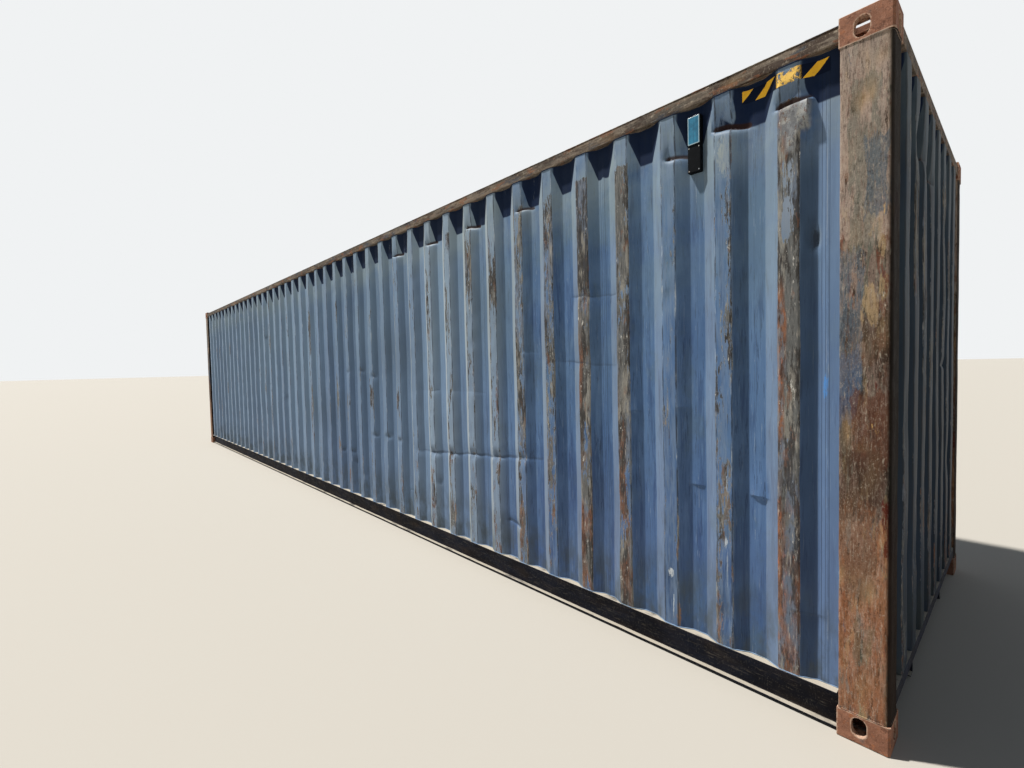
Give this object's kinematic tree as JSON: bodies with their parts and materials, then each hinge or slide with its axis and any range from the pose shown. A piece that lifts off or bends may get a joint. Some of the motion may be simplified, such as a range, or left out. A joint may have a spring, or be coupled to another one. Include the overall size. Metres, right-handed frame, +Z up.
{
  "type": "forty-foot high-cube steel freight container",
  "caption": "Closed high-cube steel freight container with corrugated walls, corner castings, double doors at one end and a gooseneck tunnel, blue and rusted.",
  "frame": {"origin": "middle of the footprint, level with the undersides of the bottom corner castings", "axes": "+X along the container towards the blank front end, +Y towards its left side, +Z up"},
  "size_m": [12.192, 2.438, 2.896],
  "materials": {
    "base_steel": "dark paint",
    "casting_steel": "worn paint over rust",
    "door_paint": "faded matt paint",
    "floor_wood": "worn plywood",
    "front_paint": "faded matt paint",
    "lock_steel": "worn galvanised",
    "post_steel": "worn paint over rust",
    "rail_steel": "faded paint and rust",
    "roof_paint": "faded matt paint",
    "seal_rubber": "matt",
    "tracker_cell": "glossy",
    "tracker_plastic": "matt",
    "wall_paint": "faded matt paint"
  },
  "bodies": {
    "root": {"bottom_rail_left": "base_steel", "bottom_rail_right": "base_steel", "cam_keepers": "lock_steel", "casting_door_left_bottom": "casting_steel", "casting_door_left_top": "casting_steel", "casting_door_right_bottom": "casting_steel", "casting_door_right_top": "casting_steel", "casting_front_left_bottom": "casting_steel", "casting_front_left_top": "casting_steel", "casting_front_right_bottom": "casting_steel", "casting_front_right_top": "casting_steel", "cross_members": "base_steel", "door_frame_left": "door_paint", "door_frame_right": "door_paint", "door_gaskets": "seal_rubber", "door_header": "rail_steel", "door_panel_left": "door_paint", "door_panel_right": "door_paint", "door_post_left": "post_steel", "door_post_right": "post_steel", "door_sill": "base_steel", "floor": "floor_wood", "front_post_left": "post_steel", "front_post_right": "post_steel", "front_sill": "base_steel", "front_top_rail": "rail_steel", "front_wall": "front_paint", "gooseneck_tunnel": "base_steel", "handle_catches": "lock_steel", "hinge_blades": "lock_steel", "hinge_lugs": "lock_steel", "lock_handles": "lock_steel", "lock_rods": "lock_steel", "outriggers": "base_steel", "rod_guides": "lock_steel", "roof": "roof_paint", "roof_corner_plates": "roof_paint", "side_wall_left": "wall_paint", "side_wall_right": "wall_paint", "top_rail_left": "rail_steel", "top_rail_right": "rail_steel", "tracker_housing": "tracker_plastic", "tracker_panel": "tracker_cell", "tunnel_bows": "base_steel"}
  },
  "joints": []
}
